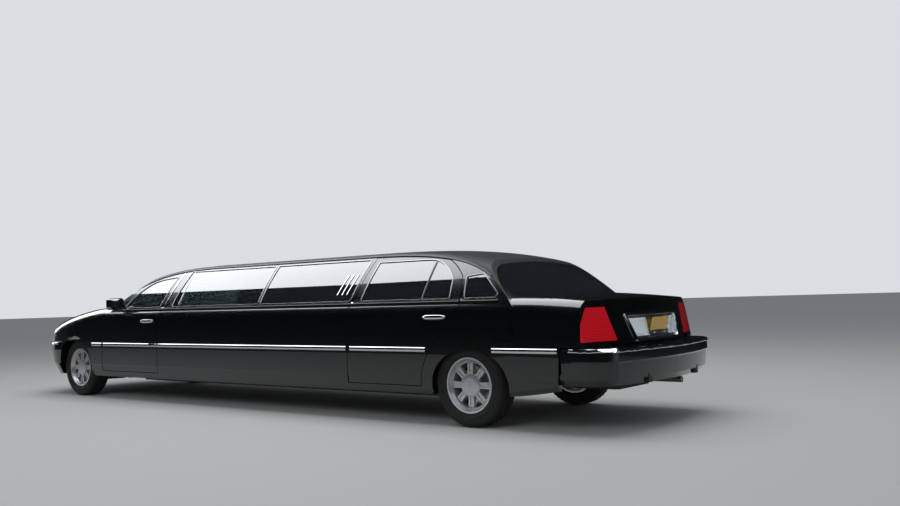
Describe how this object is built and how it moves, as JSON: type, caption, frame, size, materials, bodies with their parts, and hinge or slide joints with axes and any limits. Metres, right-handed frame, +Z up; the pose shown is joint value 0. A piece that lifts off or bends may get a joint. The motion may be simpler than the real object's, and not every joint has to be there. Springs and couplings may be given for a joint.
{
  "type": "stretch limousine",
  "caption": "Long-wheelbase stretch limousine with opening doors, hood and trunk lid, steered front wheels and a hollow cabin with dark side windows.",
  "frame": {"origin": "on the ground, under the middle of the length and width", "axes": "+X forward, +Y to the left of the car, +Z up"},
  "size_m": [8.519, 2.244, 1.522],
  "materials": {
    "black_paint": "gloss black enamel with clear coat",
    "roof_cover": "satin black grained vinyl roof covering",
    "dark_glass": "dark privacy glass",
    "chrome": "bright chrome plate",
    "lamp_clear": "clear moulded lamp lens",
    "lamp_red": "red moulded lamp lens",
    "tyre": "black rubber",
    "alloy": "silver lacquered cast alloy",
    "chassis_steel": "satin black chassis paint",
    "exhaust_steel": "aluminised exhaust steel",
    "cast_iron": "bare cast iron",
    "black_leather": "black leather",
    "black_plastic": "grained black moulding"
  },
  "bodies": {
    "body": {"chassis_frame": "chassis_steel", "cowl_and_pillars": "black_paint", "cross_members": "chassis_steel", "dashboard": "black_plastic", "driveshaft": "chassis_steel", "engine": "cast_iron", "exhaust_system": "exhaust_steel", "floor_pan": "chassis_steel", "front_bumper": "black_paint", "front_fender_left": "black_paint", "front_fender_right": "black_paint", "front_seats": "black_leather", "front_suspension": "chassis_steel", "fuel_tank": "chassis_steel", "grille": "chrome", "headlamps": "lamp_clear", "partition": "black_plastic", "passenger_seats": "black_leather", "quarter_panel_left": "black_paint", "quarter_panel_right": "black_paint", "radiator": "alloy", "rear_axle": "chassis_steel", "rear_bumper": "black_paint", "rear_window": "dark_glass", "rockers": "black_paint", "roof": "roof_cover", "side_windows": "dark_glass", "stretch_side_left": "black_paint", "stretch_side_right": "black_paint", "tail_lamps": "lamp_red", "tail_panel": "black_paint", "windshield": "dark_glass"},
    "front_door_left": {"front_door_left": "black_paint", "front_door_glass_left": "dark_glass", "door_mirror_left": "black_paint"},
    "front_door_right": {"front_door_right": "black_paint", "front_door_glass_right": "dark_glass", "door_mirror_right": "black_paint"},
    "rear_door_left": {"rear_door_left": "black_paint", "rear_door_glass_left": "dark_glass"},
    "rear_door_right": {"rear_door_right": "black_paint", "rear_door_glass_right": "dark_glass"},
    "hood": {"hood": "black_paint"},
    "trunk_lid": {"trunk_lid": "black_paint"},
    "fuel_door": {"fuel_door": "black_paint"},
    "steering_wheel": {"steering_wheel": "black_plastic"},
    "knuckle_left": {"knuckle_left": "cast_iron"},
    "knuckle_right": {"knuckle_right": "cast_iron"},
    "wheel_front_left": {"wheel_front_left": "alloy", "tyre_front_left": "tyre"},
    "wheel_front_right": {"wheel_front_right": "alloy", "tyre_front_right": "tyre"},
    "wheel_rear_left": {"wheel_rear_left": "alloy", "tyre_rear_left": "tyre"},
    "wheel_rear_right": {"wheel_rear_right": "alloy", "tyre_rear_right": "tyre"}
  },
  "joints": [
    {"name": "front_door_left_hinge", "type": "hinge", "parent": "body", "child": "front_door_left", "pos_m": [2.5465, 0.962, 0.6], "axis": [0, 0, -1], "range_deg": [0, 65]},
    {"name": "front_door_right_hinge", "type": "hinge", "parent": "body", "child": "front_door_right", "pos_m": [2.5465, -0.962, 0.6], "axis": [0, 0, 1], "range_deg": [0, 65]},
    {"name": "rear_door_left_hinge", "type": "hinge", "parent": "body", "child": "rear_door_left", "pos_m": [-1.5255, 0.962, 0.6], "axis": [0, 0, -1], "range_deg": [0, 65]},
    {"name": "rear_door_right_hinge", "type": "hinge", "parent": "body", "child": "rear_door_right", "pos_m": [-1.5255, -0.962, 0.6], "axis": [0, 0, 1], "range_deg": [0, 65]},
    {"name": "hood_hinge", "type": "hinge", "parent": "body", "child": "hood", "pos_m": [2.6555, 0, 1.09], "axis": [0, -1, 0], "range_deg": [0, 55]},
    {"name": "trunk_lid_hinge", "type": "hinge", "parent": "body", "child": "trunk_lid", "pos_m": [-3.4975, 0, 1.075], "axis": [0, 1, 0], "range_deg": [0, 70]},
    {"name": "fuel_door_hinge", "type": "hinge", "parent": "body", "child": "fuel_door", "pos_m": [-3.1555, 0.983, 0.79], "axis": [0, 0, -1], "range_deg": [0, 90]},
    {"name": "steer_left", "type": "hinge", "parent": "body", "child": "knuckle_left", "pos_m": [3.2085, 0.705, 0.345], "axis": [0, 0, 1], "range_deg": [-35, 35]},
    {"name": "steer_right", "type": "hinge", "parent": "body", "child": "knuckle_right", "pos_m": [3.2085, -0.705, 0.345], "axis": [0, 0, 1], "range_deg": [-35, 35]},
    {"name": "steering_wheel_turn", "type": "hinge", "parent": "body", "child": "steering_wheel", "pos_m": [2.0285, 0.36, 0.93], "axis": [-0.9063, 0, 0.4226], "range_deg": [-540, 540]},
    {"name": "wheel_front_left_spin", "type": "hinge", "parent": "knuckle_left", "child": "wheel_front_left", "pos_m": [3.2085, 0.805, 0.345], "axis": [0, 1, 0], "continuous": true},
    {"name": "wheel_front_right_spin", "type": "hinge", "parent": "knuckle_right", "child": "wheel_front_right", "pos_m": [3.2085, -0.805, 0.345], "axis": [0, 1, 0], "continuous": true},
    {"name": "wheel_rear_left_spin", "type": "hinge", "parent": "body", "child": "wheel_rear_left", "pos_m": [-2.8295, 0.833, 0.345], "axis": [0, 1, 0], "continuous": true},
    {"name": "wheel_rear_right_spin", "type": "hinge", "parent": "body", "child": "wheel_rear_right", "pos_m": [-2.8295, -0.833, 0.345], "axis": [0, 1, 0], "continuous": true}
  ],
  "couplings": [
    {"joint": "steer_right", "follows": "steer_left", "ratio": 1},
    {"joint": "steering_wheel_turn", "follows": "steer_left", "ratio": 15.4}
  ]
}
